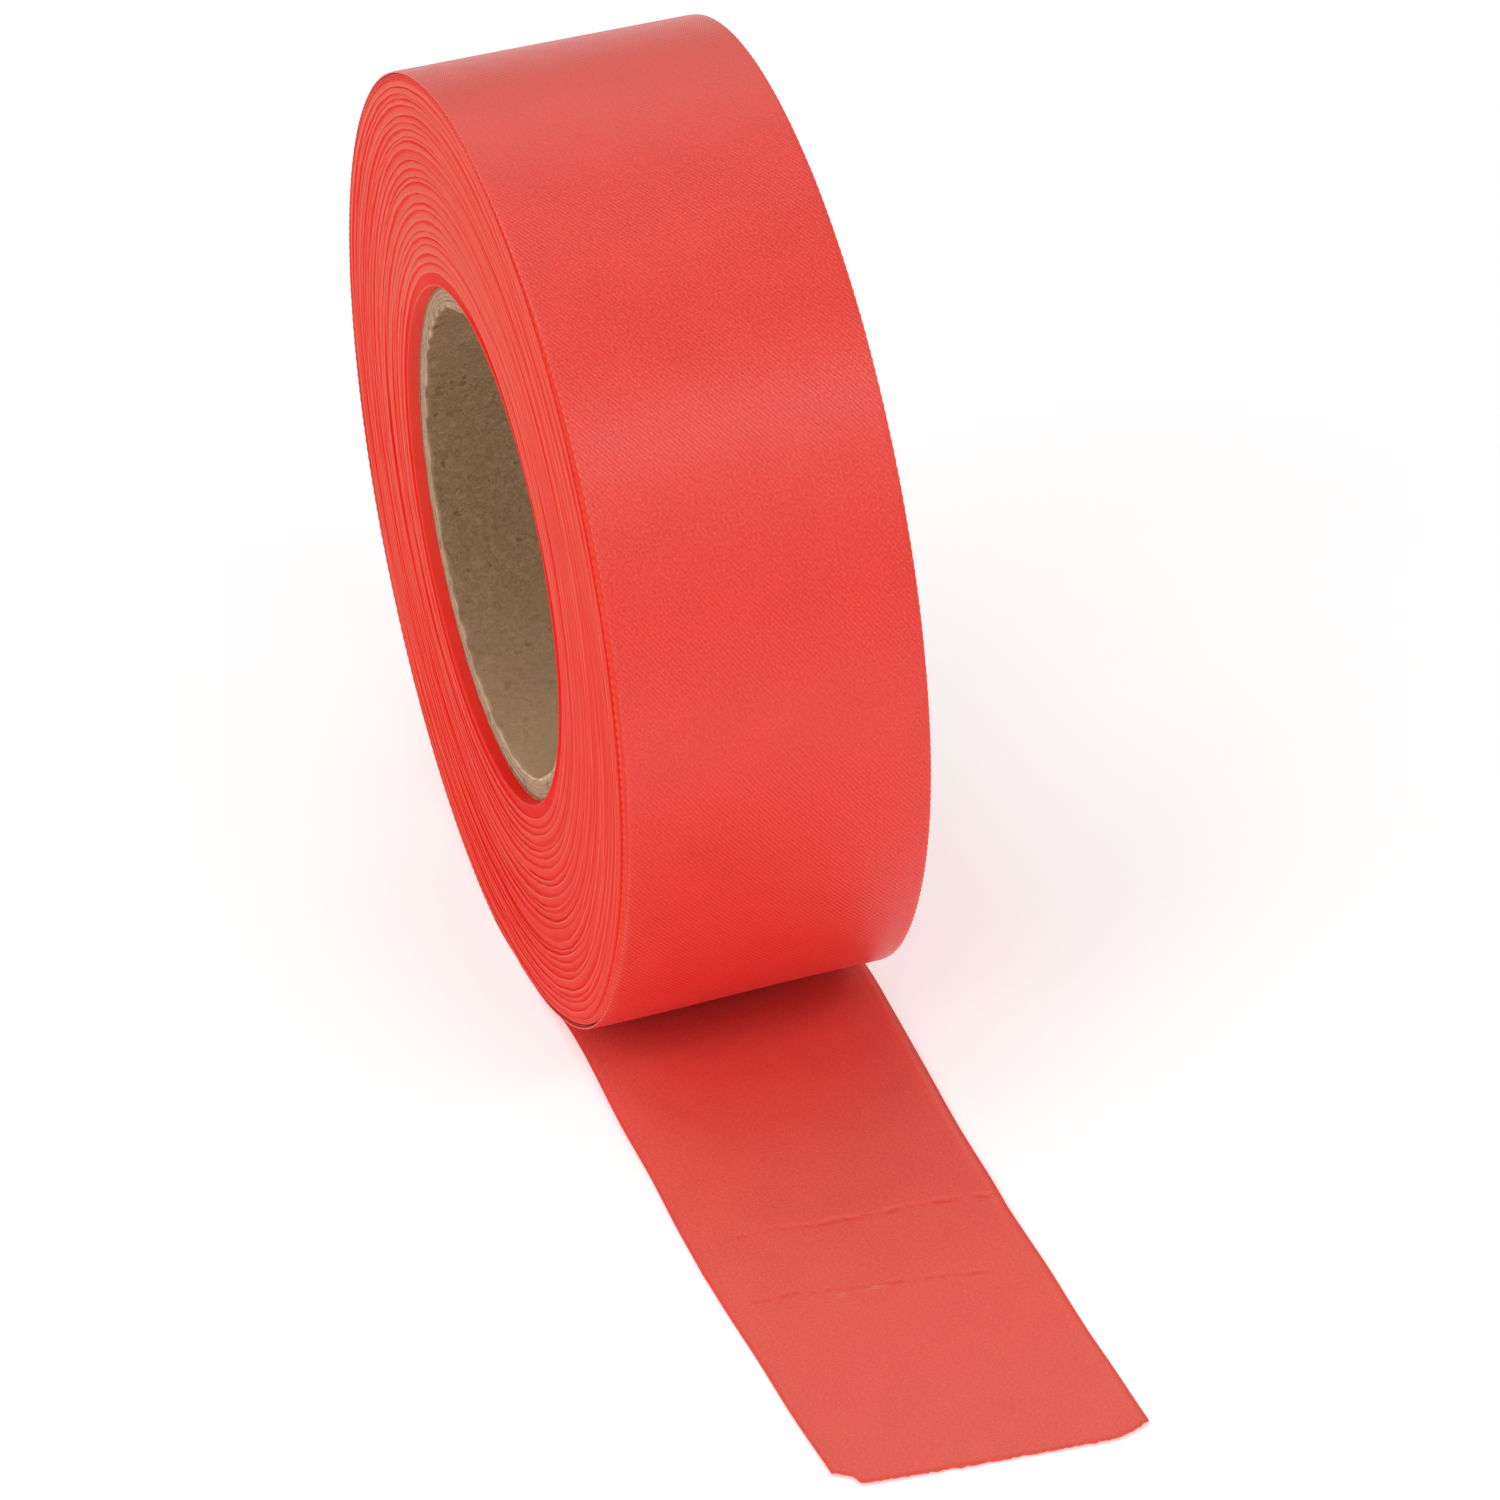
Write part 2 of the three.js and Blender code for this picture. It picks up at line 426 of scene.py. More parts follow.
def paper(name, dark, light, fibre_scale, rough_height):
    """Paper or board: short fibres in every direction, flecks and soft blotches."""
    board = Finish(name, 0.88, 0.1)
    place = board.add("ShaderNodeTexCoord", {}, "Object")
    fibres = board.noise(place, fibre_scale, 4.0, 0.7, 1.2)
    blotches = board.noise(place, 120.0, 3.0, 0.6)
    flecks = board.noise(place, fibre_scale * 0.5, 1.0, 0.4)
    color = board.ramp(fibres, (0.28, dark), (0.72, light))
    shade = board.span(blotches, 0.0, 0.45)
    color = board.mix(shade, color, tuple(0.72 * c for c in dark))
    dark_fleck = board.math("GREATER_THAN", flecks, 0.70)
    color = board.mix(board.math("MULTIPLY", dark_fleck, 0.5), color, tuple(0.4 * c for c in dark))
    color = board.mix(board.attribute("pale"), color, tuple(min(1, 1.5 * c) for c in light))
    normal = board.bump(fibres, rough_height, 0.7)
    normal = board.bump(blotches, 3 * rough_height, 0.3, normal)
    return board.finish(color, normal)


def starter_glue():
    """The film of dried glue that holds the tape's first turn on the core."""
    glue = Finish("starter_glue", 0.55)
    grain = glue.noise(glue.add("ShaderNodeTexCoord", {}, "Object"), 400.0, 3.0)
    color = glue.ramp(grain, (0.3, (0.62, 0.54, 0.33)), (0.7, (0.74, 0.68, 0.46)))
    return glue.finish(color, glue.bump(grain, 0.05 * MM))


# -------------------------------------------------------------------------------- cardboard core


CORE_STEPS = 360
LINER_ROWS = 90
SEAM_PITCH = 150 * MM  # how far the liner's spiral seam runs along the core in one turn
SEAM_PLACE = 1.9  # the angle at which the seam meets the core's middle
SEAM_LEAN = 0.53  # the distance straight across the seam, for each bit of the way round the bore
SHORT = 0.2 * MM  # how far the plies stop short of the CAD core's right end
CUT_PALE = (0.05, 0.12, 0.05, 0, 0, 0.2, 0, 0)  # how pale each corner of a ply's section is


def cut_wobble(random, angles, rough):
    """The uneven line that a saw leaves on a ring of paper."""
    return rough * (ripple(random, angles, 2, 9) + 0.6 * ripple(random, angles, 30, 90))


def core_ply(node, finish, seed):
    """One ply of the core's tube, with a rough cut at each end."""
    random = np.random.default_rng(seed)
    angles = np.linspace(0, TURN, CORE_STEPS, endpoint=False)
    inner, outer = ring_radii(node)
    middle = (inner + outer) / 2
    lip = 0.05 * (outer - inner)
    cut = cut_wobble(random, angles, 0.05 * MM)
    step = random.uniform(-0.03, 0.03) * MM
    left = CORE_LEFT + step + cut
    right = CORE_RIGHT - SHORT + cut[::-1]
    crown = 0.04 * MM * ripple(random, angles, 20, 80)
    section = [
        (inner + lip, left),
        (middle, left - 0.04 * MM + crown),
        (outer - lip, left),
        (outer, left + lip),
        (outer, right - lip),
        (middle, right),
        (inner, right - lip),
        (inner, left + lip),
    ]
    radius = np.stack([np.full(CORE_STEPS, r) for r, _ in section], axis=1)
    across = np.stack([x for _, x in section], axis=1)
    pale = CUT_PALE * np.ones((CORE_STEPS, 1))
    ring = make_ring(f"{node}_paper", radius, across, angles, finish, [("pale", pale)])
    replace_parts(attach(ring, "roll"), node)


def bore_liner(finish):
    """The brown paper that lines the bore: a spiral seam, a frayed lip, and painted light that makes
    it paler at the bottom.
    """
    random = np.random.default_rng(11)
    angles = np.linspace(0, TURN, CORE_STEPS, endpoint=False)
    inner, outer = ring_radii("core_liner_inner")
    share = smooth(np.linspace(0, 1, LINER_ROWS), -0.15, 1.15)
    share = (share - share[0]) / (share[-1] - share[0])
    cut = cut_wobble(random, angles, 0.06 * MM)[:, None]
    across = CORE_LEFT + cut + (CORE_RIGHT - SHORT - CORE_LEFT) * share
    from_seam = (across / SEAM_PITCH * TURN - angles[:, None] + SEAM_PLACE + math.pi) % TURN
    from_seam = (from_seam - math.pi) * inner * SEAM_LEAN
    seam = hump(from_seam, 0, 0.35 * MM)
    edge_wave = ripple(random, angles, 5, 40)[:, None] * hump(across, CORE_LEFT, 1.2 * MM)
    radius = inner + 0.10 * MM * seam + 0.16 * MM * edge_wave
    radius = radius + 0.03 * MM * swell(random, angles[:, None] * inner, across, 0.03, 0.004)
    back = np.full(CORE_STEPS, outer)
    radius = np.column_stack([radius, back, back])
    across = np.column_stack([across, across[:, -1], across[:, 0]])
    frayed = hump(across, CORE_LEFT, 0.3 * MM)
    frayed = frayed * np.clip(0.45 + 0.45 * ripple(random, angles, 12, 70), 0, 1)[:, None]
    # Painted light: paler low in the bore, where light falls in on it.
    painted_light = 0.55 * hump((angles + math.pi) % TURN - math.pi, 0.3, 0.8)[:, None]
    seam = np.column_stack([seam, 0 * back, 0 * back])
    pale = np.clip(frayed * 0.9 + painted_light - 0.15 * seam, 0, 1)
    liner = make_ring("bore_liner", radius, across, angles, finish, [("pale", pale)])
    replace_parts(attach(liner, "roll"), "core_liner_inner")


def make_core():
    kraft = paper("kraft_paper", (0.225, 0.134, 0.070), (0.49, 0.325, 0.190), 900.0, 0.06 * MM)
    board = paper("grey_board", (0.33, 0.212, 0.136), (0.66, 0.48, 0.340), 1000.0, 0.12 * MM)
    bore_liner(kraft)
    boards = sorted(node for node in frame["nodes"] if node.startswith("core_board_"))
    for seed, node in enumerate(boards, start=21):
        core_ply(node, board, seed)
    core_ply("core_liner_outer", kraft, 31)


# ------------------------------------------------------------------------------- the wound tape


PACK_STEPS = 560  # steps round the ring of bands
FINE_STEPS = 2160  # enough for the small scallops on the last turns' edges
LAST_TURNS = 3  # turns under the outer one that are modelled one by one
BANDS = 24  # groups of turns that slipped sideways together
SCALLOP = 1.45 * MM  # from one small wave along a cut edge to the next
SCALLOP_DEPTH = 0.10 * MM
SLIP = 1.0 * MM  # how far the outer turn's left edge is drawn in on the front of the roll
RIGHT_SLIP = 0.1  # the share of it that the right edge moves, because taut cloth narrows
SAG = 2.2 * MM  # how far the loose turns hang out of the round, low on the front
RIGHT_SAG = 0.45  # the share of the sag that is left at the right edge
SLACK = 0.8 * MM  # how far the turns under the outer one stay behind it there

LIP_WIDTH = 0.5 * MM  # the first turns, which stand proud of the groove round them
GROOVE_WIDTH = 1.7 * MM
GROOVE_DEPTH = 0.6 * MM
FIRST_BAND = CORE_RADIUS + LIP_WIDTH + GROOVE_WIDTH
LAST_BAND = PACK_RADIUS - LAST_TURNS * THICKNESS


def slip_at(angles):
    """How much of the slip there is at each angle: most on the front, a little elsewhere."""
    rise = smooth(angles, math.radians(2), math.radians(50))
    fall = 1 - smooth(angles, math.radians(110), math.radians(175))
    return 0.12 * (1 - smooth(angles, math.radians(300), math.radians(350))) + 0.88 * rise * fall


def sag_at(angles, across):
    """How far the loose turns hang out at each place: it starts just in front of the ground."""
    turned = (angles + math.pi) % TURN - math.pi
    start = smooth(turned, math.radians(5), math.radians(17))
    share = 1 + (RIGHT_SAG - 1) * smooth(across, LEFT, RIGHT)
    return SAG * share * start * hump(turned, math.radians(34), math.radians(20))


def slack_at(angles):
    """How much of the slack there is at each angle."""
    turned = (angles + math.pi) % TURN - math.pi
    return hump(turned, math.radians(25), math.radians(14))


def settle(points):
    """Points of the wound tape, with its rim pressed flat and slack where it meets the ground."""
    away = np.hypot(points[..., 1], points[..., 2] - AXIS_HEIGHT)
    outness = np.clip((away - CORE_RADIUS) / (PACK_RADIUS - CORE_RADIUS), 0, 1)
    angles = np.arctan2(-points[..., 1], AXIS_HEIGHT - points[..., 2])
    sunk = SLACK * slack_at(angles) * outness**7 - sag_at(angles, points[..., 0]) * outness**4
    level = 2 * THICKNESS
    rim_height = AXIS_HEIGHT - PACK_RADIUS * np.cos(angles)
    pressed = np.clip(level - rim_height, 0, None) * outness**3 * (np.cos(angles) > 0)
    moved = points.copy()
    moved[..., 1] += sunk * np.sin(angles)
    moved[..., 2] += sunk * np.cos(angles) + pressed
    return moved


def side_rings(random, angles):
    """One side of the wound tape: each ring's radius, depth behind the face and paleness, which
    paints highlights on crests and shade in grooves.
    """
    shallow = 0.75 + 0.25 * ripple(random, angles, 1, 4)
    rings = [
        (CORE_RADIUS, 0.35 * MM, 0.2),
        (CORE_RADIUS + 0.15 * MM, 0.12 * MM, 0.45),
        (CORE_RADIUS + LIP_WIDTH - 0.12 * MM, 0.10 * MM, 0.40),
        (CORE_RADIUS + LIP_WIDTH, GROOVE_DEPTH * 0.6 * shallow, 0.1),
        (CORE_RADIUS + LIP_WIDTH + 0.25 * MM, GROOVE_DEPTH * shallow, 0.0),
        (FIRST_BAND - 0.2 * MM, GROOVE_DEPTH * shallow, 0.0),
    ]
    widths = random.uniform(0.55, 1.7, BANDS)
    widths *= (LAST_BAND - FIRST_BAND) / widths.sum()
    starts = FIRST_BAND + np.concatenate([[0], np.cumsum(widths)[:-1]])
    common = ripple(random, angles, 1, 6)
    for start, width in zip(starts, widths):
        share = (start - FIRST_BAND) / (LAST_BAND - FIRST_BAND)
        calm = 4 * share * (1 - share)
        wobble = calm * 0.30 * MM * common
        wobble = wobble + min(1, 3 * calm) * 0.14 * MM * ripple(random, angles, 3, 11)
        wobble = wobble + min(1, 3 * calm) * 0.04 * MM * ripple(random, angles, 25, 60)
        presence = np.clip(0.62 + 0.45 * ripple(random, angles, 1, 7), 0.1, 1)
        level = 0.12 * MM + 0.09 * MM * ripple(random, angles, 1, 5)
        crest = random.uniform(0.10, 0.26) * MM * presence
        groove = random.uniform(0.08, 0.24) * MM * presence
        tone = random.uniform(0.40, 0.62)
        edge = start + wobble
        # A groove, the crest that stands proud beside it, and the band's face down to the next one;
        # painted shade in the groove and a painted highlight on the crest.
        rings.append((edge, level + groove, -0.2))
        rings.append((edge + 0.20 * MM, level - crest, 0.5 + 0.7 * presence))
        rings.append((edge + 0.42 * MM, level, tone + 0.1))
        rings.append((edge + 0.70 * width, level + 0.03 * MM, tone - 0.1 * presence))
        rings.append((edge + 0.86 * width, level + 0.05 * MM, 0.05))
    rings.append((LAST_BAND, 0.25 * MM, 0.1))
    parts = [np.stack([value + 0 * angles for value in part], axis=1) for part in zip(*rings)]
    radius, depth, pale = parts
    painted_light = -0.18 * np.sin(angles) - 0.12 * np.cos(angles)  # painted light: paler at the back and on top, darker on the front and below
    return radius, depth, pale + painted_light[:, None]


def turn_count(radius, angles):
    """How many turns of tape lie inside a place, which grows as the spiral does."""
    return (radius - CORE_RADIUS) / THICKNESS - angles[:, None] / TURN


def wound_pack(finish):
    """The turns of tape between the core and the last few turns, as one ring."""
    random = np.random.default_rng(4)
    angles = np.linspace(0, TURN, PACK_STEPS, endpoint=False)
    left_radius, left_depth, left_pale = side_rings(random, angles)
    right_radius, right_depth, right_pale = side_rings(random, angles)
    radius = np.concatenate([left_radius, right_radius[:, ::-1]], axis=1)
    across = np.concatenate([LEFT + left_depth, RIGHT - right_depth[:, ::-1]], axis=1)
    pale = np.concatenate([left_pale, right_pale[:, ::-1]], axis=1)
    values = [("pale", pale), ("turns", turn_count(radius, angles))]
    pack = make_ring("wound_pack", radius, across, angles, finish, values, settle)
    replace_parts(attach(pack, "roll"), "wound_tape")


def scallops(random, distance):
    """The small regular waves that the weave leaves along a cut edge, from 0 to 1."""
    wave = 0.5 + 0.5 * np.cos(TURN * distance / SCALLOP)
    strength = 0.75 + 0.25 * np.sin(distance / (17 * MM) + random.uniform(0, TURN))
    return wave * strength


def last_turn(index, finish):
    """One of the last turns under the outer one, slid a little less than it towards +X."""
    random = np.random.default_rng(40 + index)
    angles = np.linspace(0, TURN, FINE_STEPS, endpoint=False)
    inner = LAST_BAND + (index - 1) * THICKNESS
    outer = inner + 0.97 * THICKNESS
    slid = SLIP * slip_at(angles) * index / (LAST_TURNS + 1)
    jitter = 0.10 * MM * ripple(random, angles, 2, 9)
    waves = scallops(random, angles * outer + random.uniform(0, 1) * SCALLOP)
    left = LEFT + 0.08 * MM + slid + jitter + SCALLOP_DEPTH * (1 - waves)
    right = RIGHT - 0.08 * MM + RIGHT_SLIP * slid + jitter - SCALLOP_DEPTH * (1 - waves)
    bevel = 0.05 * MM
    section = [
        (inner + bevel, left),
        (outer - bevel, left),
        (outer, left + 2 * bevel),
        (outer, right - 2 * bevel),
        (outer - bevel, right),
        (inner + bevel, right),
        (inner, right - 2 * bevel),
        (inner, left + 2 * bevel),
    ]
    radius = np.stack([np.full(FINE_STEPS, r) for r, _ in section], axis=1)
    across = np.stack([x for _, x in section], axis=1)
    pale = np.zeros_like(radius) + 0.45
    for column in (0, 1, 4, 5):
        pale[:, column] = 0.45 + 0.45 * waves
    values = [("pale", pale), ("turns", turn_count(radius, angles))]
    ring = make_ring(f"last_turn_{index}", radius, across, angles, finish, values, settle)
    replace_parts(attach(ring, "roll"), "wound_tape")


# ---------------------------------------------------------------------------------- loose cloth


LAP_ROWS = 8  # rows of the outer turn where it lies flat under the roll
TURN_ROWS = 2160  # rows of it round the rim
# How far from each edge its close rows of points lie, as shares of half the width.
EDGE_PLACES = np.array([0, 0.12, 0.35, 0.7, 1.2]) * MM / HALF_WIDTH


def places_across(count):
    """Places across the tape, from -1 at its left edge to 1 at its right one, close at both."""
    middle = np.linspace(-0.93, 0.93, count)
    return np.concatenate([-1 + EDGE_PLACES, middle, 1 - EDGE_PLACES[::-1]])


PLACES = places_across(23)


def turn_path():
    """The outer turn's middle line: the angle and the radius of each row."""
    start_angle = math.acos((AXIS_HEIGHT - 1.5 * THICKNESS) / (PACK_RADIUS + THICKNESS / 2))
    end_angle = TURN - math.acos((AXIS_HEIGHT - THICKNESS / 2) / (PACK_RADIUS + 1.5 * THICKNESS))
    lap_angle = -math.asin((ROOT_BACK - MM) / AXIS_HEIGHT)
    lap = np.linspace(lap_angle, start_angle, LAP_ROWS, endpoint=False)
    climb = np.linspace(start_angle, end_angle, TURN_ROWS)
    lap_radius = (AXIS_HEIGHT - 1.5 * THICKNESS) / np.cos(lap)
    share = (climb - start_angle) / (end_angle - start_angle)
    climb_radius = PACK_RADIUS + THICKNESS * (0.5 + share)
    return np.concatenate([lap, climb]), np.concatenate([lap_radius, climb_radius])


def turn_tones(angles, waves):
    """How pale and how much deeper a red the outer turn is, at each row and place: worn edges,
    painted light and painted shade.
    """
    worn = 0.9 * smooth(abs(PLACES), 1 - EDGE_PLACES[2], 1) * waves[:, None]
    # Painted light: a little paler from the top of the roll down its back, where the light falls.
    painted_paleness = 0.38 * smooth(angles, 2.75, 3.2) * (1 - smooth(angles, 4.4, 5.2))
    # Painted shade: a deeper red on the front, and most of all low down, where less light falls.
    painted_front_shade = 0.24 * (1 - smooth(angles, 1.8, 2.2)) + 0.45 * (1 - smooth(angles, 0.65, 1.25))
    # Paleness holds the worn edges and the painted light; the deeper red is painted shade.
    return np.maximum(worn, painted_paleness[:, None]), painted_front_shade[:, None] * np.ones_like(PLACES)


def outer_turn(face, back):
    """The last full turn: up the front, over the top and down the back."""
    random = np.random.default_rng(7)
    angles, radius = turn_path()
    distance = angles * RIM_RADIUS
    slid = SLIP * slip_at(angles)
    waves = scallops(random, distance)
    side = np.sign(PLACES) * smooth(abs(PLACES), 1 - EDGE_PLACES[2], 1)
    drawn_in = RIGHT_SLIP + (1 - RIGHT_SLIP) * (1 - PLACES) / 2
    across = PLACES * HALF_WIDTH + slid[:, None] * drawn_in
    across = across - side * SCALLOP_DEPTH * (1 - waves)[:, None]
    turned_down = 0.08 * MM * smooth(abs(PLACES), 1 - EDGE_PLACES[3], 1)
    softness = 0.03 * MM * swell(random, distance[:, None], across, 0.05, 0.012)
    softness = softness * smooth(angles, 0, 0.2)[:, None]
    middle = radius[:, None] + sag_at(angles[:, None], across)
    outer = middle + THICKNESS / 2 + softness - turned_down
    inner = middle - THICKNESS / 2
    top = round_axis(outer, angles[:, None], across)
    bottom = round_axis(inner, angles[:, None], across)
    tape_place = np.stack(np.broadcast_arrays(distance[:, None], across, 0.0), axis=-1)
    pale, painted_shade = turn_tones(angles, waves)
    values = [("tape_place", tape_place), ("pale", pale), ("painted_shade", painted_shade)]
    turn = make_strip("outer_turn_cloth", top, bottom, [face, back], values)
    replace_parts(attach(turn, "roll"), "outer_turn")


TAIL_PLACES = places_across(90)
ROW_LENGTH = 0.45 * MM
SEAM_AT_ROOT = ROOT_BACK - 14 * MM  # hidden under the roll's belly
STEP_ASIDE = 2.1 * MM  # how far the tail steps to the right where it comes out from the roll
TURN_OFF = 100 * MM  # how far in front of the axis the tail starts to turn off to the right
TURN_OFF_SLOPE = 0.044


def tail_middle(y):
    """X of the tail's middle line: it steps aside under the roll, and bends further on."""
    aside = STEP_ASIDE * smooth(-y, -4 * MM, 30 * MM)
    return aside + TURN_OFF_SLOPE * np.clip(-y - TURN_OFF, 0, None)


CUT_SLANT = 3.4 * MM  # how much further the cut reaches at its right end


def cut_reach(places):
    """Y of the cut end at each place across the tape, with both its corners snipped."""
    straight = CUT_END - 0.4 * MM + CUT_SLANT * (1 - places) / 2
    left_snip = 2.6 * MM * smooth(-places, 0.86, 0.90) + 1.3 * MM * smooth(-places, 0.90, 1.0)
    right_snip = 3.0 * MM * np.clip((places - 0.72) / 0.28, 0, 1) ** 1.3
    return straight + left_snip + right_snip


def tail_height(x, y, places):
    """How high the middle of the tail's cloth lies above the ground."""
    random = np.random.default_rng(15)
    reach = -y
    belly = 0.9 * MM * smooth(reach, 18 * MM, 36 * MM) * (1 - smooth(reach, 36 * MM, 72 * MM))
    waves = 0.2 * MM * (1.6 + swell(random, x, y, 0.075, 0.028)) * smooth(reach, 14 * MM, 40 * MM)
    end_lift = 0.25 * MM * smooth(reach, 138 * MM, 164 * MM) * (0.4 + 0.6 * smooth(places, -1, 1))
    from_edge = (1 - abs(places)) * HALF_WIDTH
    ridge_strength = 0.30 + 0.9 * (places > 0) * hump(reach, 40 * MM, 45 * MM)
    ridge = 0.45 * MM * ridge_strength * hump(from_edge, 1.0 * MM, 0.6 * MM)
    ridge = ridge * smooth(reach, 14 * MM, 24 * MM)
    lift = belly + waves + end_lift + ridge + creases(x, y)
    return THICKNESS / 2 + np.clip(lift, 0, None)


CREASES = (
    # in millimetres: each crease's left end, its right end, and how deep it is
    ((-17.6, -92.4), (27.0, -96.2), 0.20),
    ((-19.0, -109.5), (21.0, -115.5), 0.09),
    ((-8.0, -113.4), (6.8, -112.6), -0.30),
)
CREASE_WIDTH = 0.5 * MM


def crease_lines(x, y):
    """For each crease: its depth, its strength at each place, and how far it is from there."""
    random = np.random.default_rng(77)
    for (x0, y0), (x1, y1), depth in CREASES:
        share = np.clip((x / MM - x0) / (x1 - x0), 0, 1)
        line = (y0 + (y1 - y0) * share) * MM + 0.4 * MM * swell(random, x, 0 * y, 0.03, 0.003)
        broken = np.clip(0.5 + 0.6 * swell(random, x, 0 * y, 0.006, 0.0015), 0, 1)
        inside = smooth(x / MM, x0, x0 + 3) * (1 - smooth(x / MM, x1 - 3, x1))
        yield depth * MM, broken * inside, y - line


def creases(x, y):
    """Faint broken lines across the tail, where it was folded and laid flat again."""
    total = 0 * x
    for depth, strength, beside in crease_lines(x, y):
        total = total - depth * strength * hump(beside, 0, CREASE_WIDTH)
        total = total + 0.5 * depth * strength * hump(beside, 2 * CREASE_WIDTH, CREASE_WIDTH)
    return total


def tail_grid(near, far):
    """X, Y and place across the tape of each of the cloth's points between two rows."""
    rows = max(4, round(float(np.mean(near - far)) / ROW_LENGTH))
    share = smooth(np.linspace(0, 1, rows + 1), -0.6, 1.6)
    share = ((share - share[0]) / (share[-1] - share[0]))[:, None]
    y = near + (far - near) * share
    places = np.broadcast_to(TAIL_PLACES, y.shape)
    random = np.random.default_rng(21)
    edge = smooth(abs(places), 0.9, 1) * np.sign(places)
    wave = 0.10 * MM * swell(random, 0.02 * np.sign(places), y, 0.06, 0.02)
    narrowed = 1 - 0.015 * smooth(-y, 110 * MM, 165 * MM)
    x = tail_middle(y) + places * HALF_WIDTH * narrowed + edge * wave
    return x, y, places


def tail_tones(x, y, places):
    """How pale and how much deeper a red the tail's cloth is at each place: painted light and painted
    shade.
    """
    from_edge = (1 - abs(places)) * HALF_WIDTH
    # Painted highlight: a pale stripe along the right edge, where the cloth rises in a ridge near the
    # roll.
    painted_edge_highlight = hump(from_edge, 1.1 * MM, 0.45 * MM) * (places > 0)
    pale = 0.6 * painted_edge_highlight * hump(-y, 40 * MM, 45 * MM)
    from_cut = y - cut_reach(places)
    # Painted shade: a deeper red along the edges and the cut end.
    painted_shade = 0.35 * (1 - smooth(np.minimum(from_edge, from_cut), 0.25 * MM, 0.9 * MM))
    painted_roll_shade = 1 - smooth(-y, 40 * MM, 78 * MM)  # painted shade: a deeper red where the roll shades the cloth close to it
    painted_shade = np.maximum(painted_shade, 0.42 * painted_roll_shade * smooth(places, -1.1, -0.3))
    # Painted shade in each crease's fold and a painted highlight on its shoulder; a raised crease
    # gets a painted highlight along it.
    for depth, strength, beside in crease_lines(x, y):
        mark = strength * hump(beside, 0, 0.4 * MM)
        painted_shade = painted_shade + 0.5 * mark * (depth > 0)
        pale = pale + 0.8 * mark * (depth < 0)
        pale = pale + 0.30 * strength * (depth > 0) * hump(beside, 0.9 * MM, 0.4 * MM)
    # Painted light: paler further from the roll, out of its shade.
    painted_paleness = 0.12 * smooth(-y, 70 * MM, 150 * MM)
    return np.maximum(pale, painted_paleness), painted_shade


def tail_strip(name, near, far, back, face):
    """A stretch of the tail between two rows, which end exactly where its neighbours begin."""
    near = near * np.ones_like(TAIL_PLACES)
    far = far * np.ones_like(TAIL_PLACES)
    x, y, places = tail_grid(near, far)
    height = tail_height(x, y, places)
    top = np.stack([x, y, height + THICKNESS / 2], axis=-1)
    bottom = np.stack([x, y, height - THICKNESS / 2], axis=-1)
    tape_place = np.stack([y, x, 0 * x], axis=-1)
    pale, painted_shade = tail_tones(x, y, places)
    values = [("tape_place", tape_place), ("pale", pale), ("painted_shade", painted_shade)]
    strip = make_strip(name, top, bottom, [back, face], values)
    return strip


def make_tail(face, back):
    """The cloth under the roll and the free tail, split halfway between its hinges."""
    root = tail_strip("tail_root_cloth", ROOT_BACK, SEAM_AT_ROOT, back, face)
    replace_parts(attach(root, "roll"), "tail_root")
    random = np.random.default_rng(8)
    frays = 0.10 * MM * random.standard_normal(len(TAIL_PLACES))
    near = SEAM_AT_ROOT
    for number, hinge in enumerate(HINGES, start=1):
        is_last = number == len(HINGES)
        far = cut_reach(TAIL_PLACES) + frays if is_last else hinge.y - LINK_LENGTH / 2
        piece = tail_strip(f"tail_cloth_{number}", near, far, back, face)
        near = far
        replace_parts(piece, f"tail_link_{number}")
        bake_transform(piece)


# ------------------------------------------------------------------- floor, lights and the camera


FLOOR_SIZE = 40.0  # from the middle to each side
FLOOR_GLOW = 0.40  # the floor is a lit tabletop, which keeps the shadows on it faint
WORLD_STRENGTH = 0.30


def make_floor():
    mesh = bpy.data.meshes.new("floor")
    corners = [(-1, -1, 0), (1, -1, 0), (1, 1, 0), (-1, 1, 0)]
    mesh.from_pydata([FLOOR_SIZE * Vector(corner) for corner in corners], [], [(0, 1, 2, 3)])
    paint = Finish("floor_paint", 0.9, 0.1)
    paint.put(paint.shader, "Base Color", (0.84, 0.84, 0.84, 1))
    paint.put(paint.shader, "Emission Color", (1, 1, 1, 1))
    paint.put(paint.shader, "Emission Strength", FLOOR_GLOW)
    mesh.materials.append(paint.material)
    add_object("floor", mesh)


def add_light(name, place, target, size, power):
    light = bpy.data.lights.new(name, "AREA")
    light.shape = "RECTANGLE"
    light.size, light.size_y = size
    light.energy = power
    lamp = add_object(name, light)
    lamp.location = place
    lamp.rotation_mode = "QUATERNION"
    lamp.rotation_quaternion = (Vector(place) - target).to_track_quat("Z", "Y")


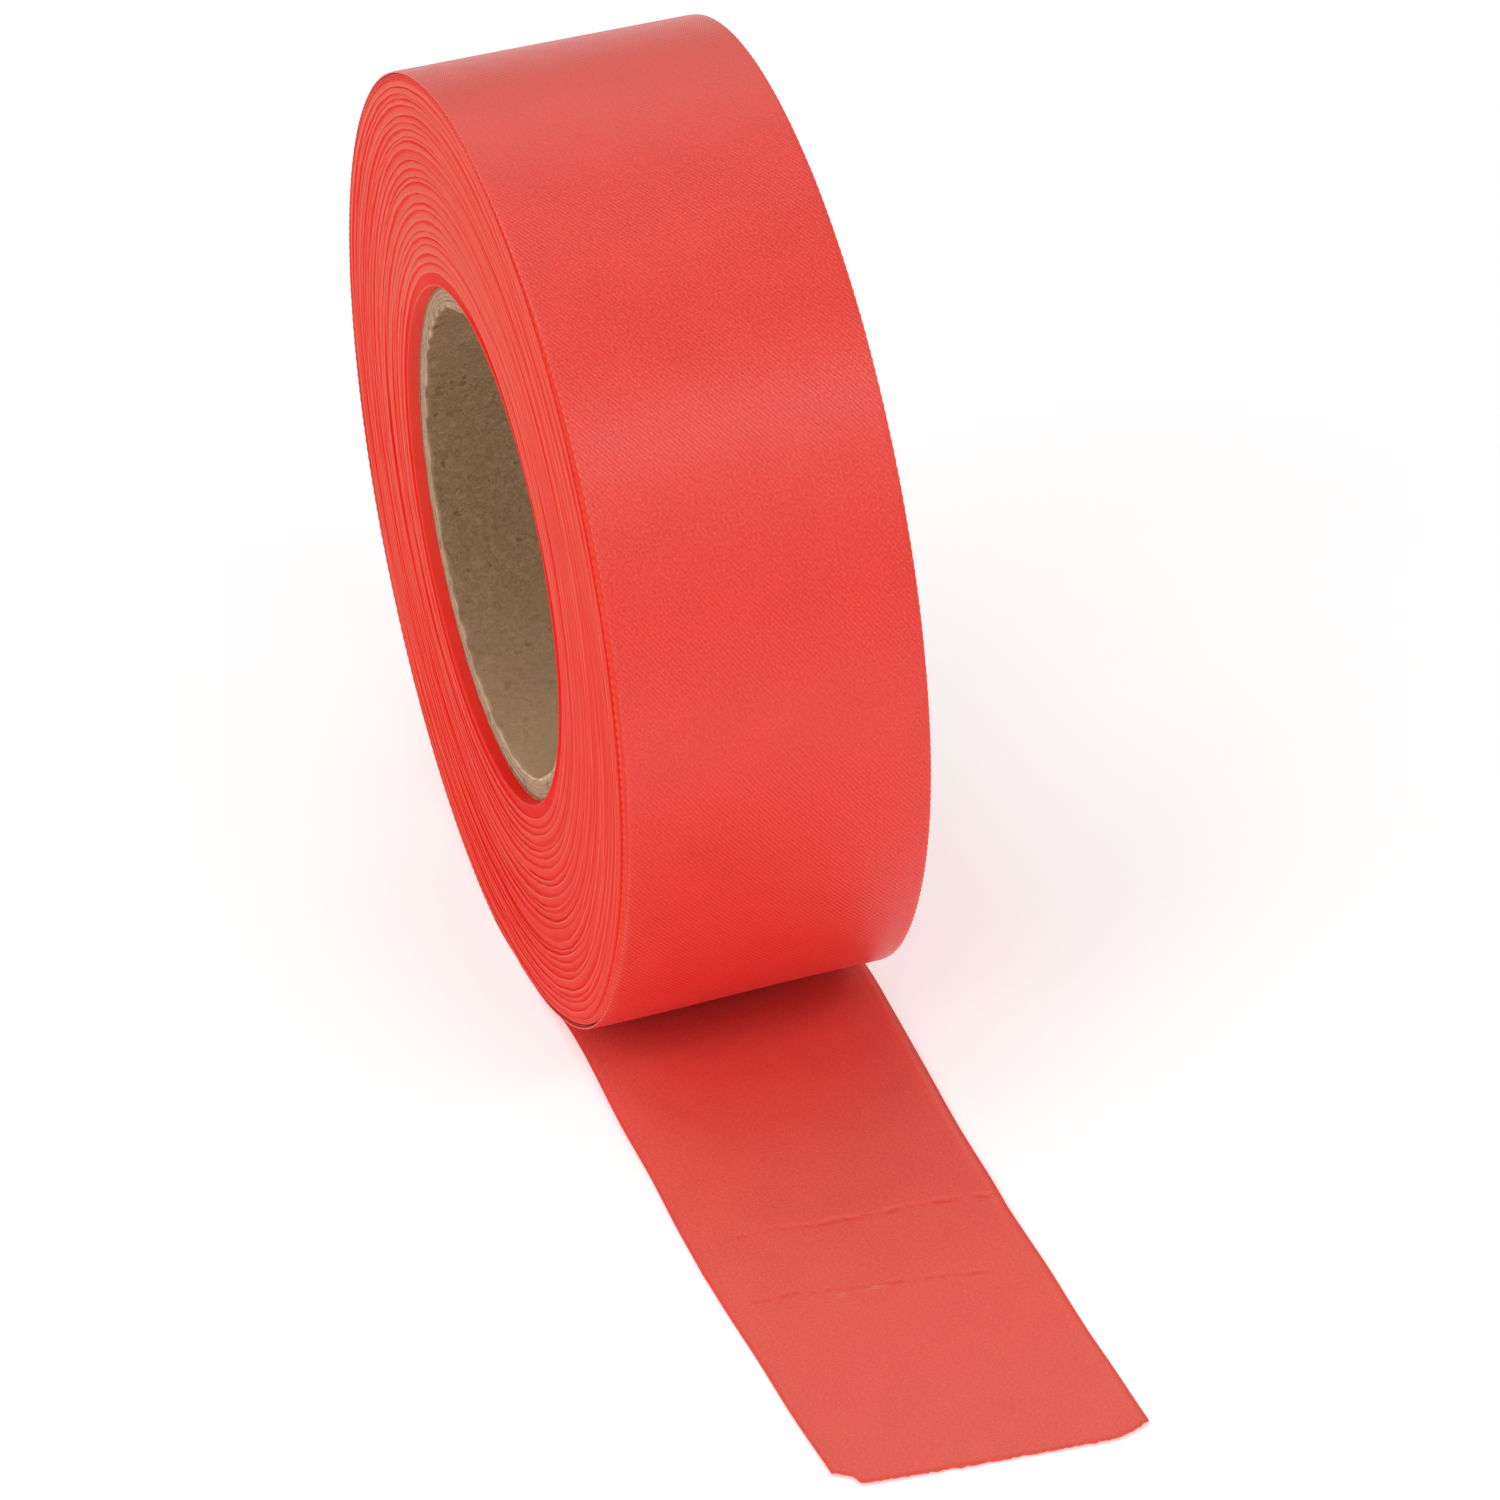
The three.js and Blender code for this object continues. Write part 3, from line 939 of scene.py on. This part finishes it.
def make_lights():
    target = Vector((0, 0, AXIS_HEIGHT))
    add_light("front_softbox", (0.38, -0.96, 1.24), target, (1.1, 0.25), 4.1)
    add_light("overhead_softbox", (-0.35, 0.20, 1.60), target, (1.2, 1.2), 7.2)
    add_light("left_softbox", (-1.10, -0.60, 0.85), target, (1.0, 1.0), 6.0)
    add_light("low_fill", (0.0, -1.45, 0.70), target, (2.2, 0.4), 1.9)
    add_light("back_softbox", (0.35, 1.35, 1.15), target, (1.2, 0.6), 2.0)
    world = bpy.data.worlds.new("studio")
    world.use_nodes = True
    background = world.node_tree.nodes["Background"]
    background.inputs["Color"].default_value = (1, 1, 1, 1)
    background.inputs["Strength"].default_value = WORLD_STRENGTH
    bpy.context.scene.world = world


# The camera stands well back and looks down on the roll's left face from the front.
CAMERA_AZIMUTH = math.radians(15.65)  # to the left of straight in front
CAMERA_ELEVATION = math.radians(32.65)
CAMERA_ROLL = math.radians(-3.05)
CAMERA_DISTANCE = 25.07  # rim radii
CAMERA_ASIDE = 0.245  # rim radii, to the right of the axis
CAMERA_BELOW = 0.487  # rim radii, below the axis
RIM_SHARE = 0.3208  # how much of the picture's side the rim's radius takes up


def make_camera():
    forward = Vector(
        (
            math.sin(CAMERA_AZIMUTH) * math.cos(CAMERA_ELEVATION),
            math.cos(CAMERA_AZIMUTH) * math.cos(CAMERA_ELEVATION),
            -math.sin(CAMERA_ELEVATION),
        )
    )
    level_right = Vector((math.cos(CAMERA_AZIMUTH), -math.sin(CAMERA_AZIMUTH), 0))
    level_up = level_right.cross(forward)
    right = math.cos(CAMERA_ROLL) * level_right + math.sin(CAMERA_ROLL) * level_up
    up = right.cross(forward)
    offset = CAMERA_ASIDE * right - CAMERA_BELOW * up - CAMERA_DISTANCE * forward
    camera = bpy.data.cameras.new("camera")
    camera.sensor_width = 36
    camera.lens = camera.sensor_width * RIM_SHARE * CAMERA_DISTANCE
    camera.clip_start, camera.clip_end = 0.05, 200
    holder = add_object("camera", camera)
    turn = Matrix((right, up, -forward)).transposed()
    place = Vector((0, 0, AXIS_HEIGHT)) + RIM_RADIUS * offset
    holder.matrix_world = Matrix.Translation(place) @ turn.to_4x4()
    bpy.context.scene.camera = holder


# ------------------------------------------------------------------------------------ the scene


make_camera()
make_floor()
make_lights()
satin, matte, edges = satin_cloth(), matte_cloth(), cloth_edges()
make_core()
wound_pack(edges)
for turn_index in range(1, LAST_TURNS + 1):
    last_turn(turn_index, edges)
outer_turn(satin, matte)
make_tail(satin, matte)

frame["nodes"]["starter_strip"].material_slots[0].material = starter_glue()
bpy.context.scene.view_settings.view_transform = "Standard"
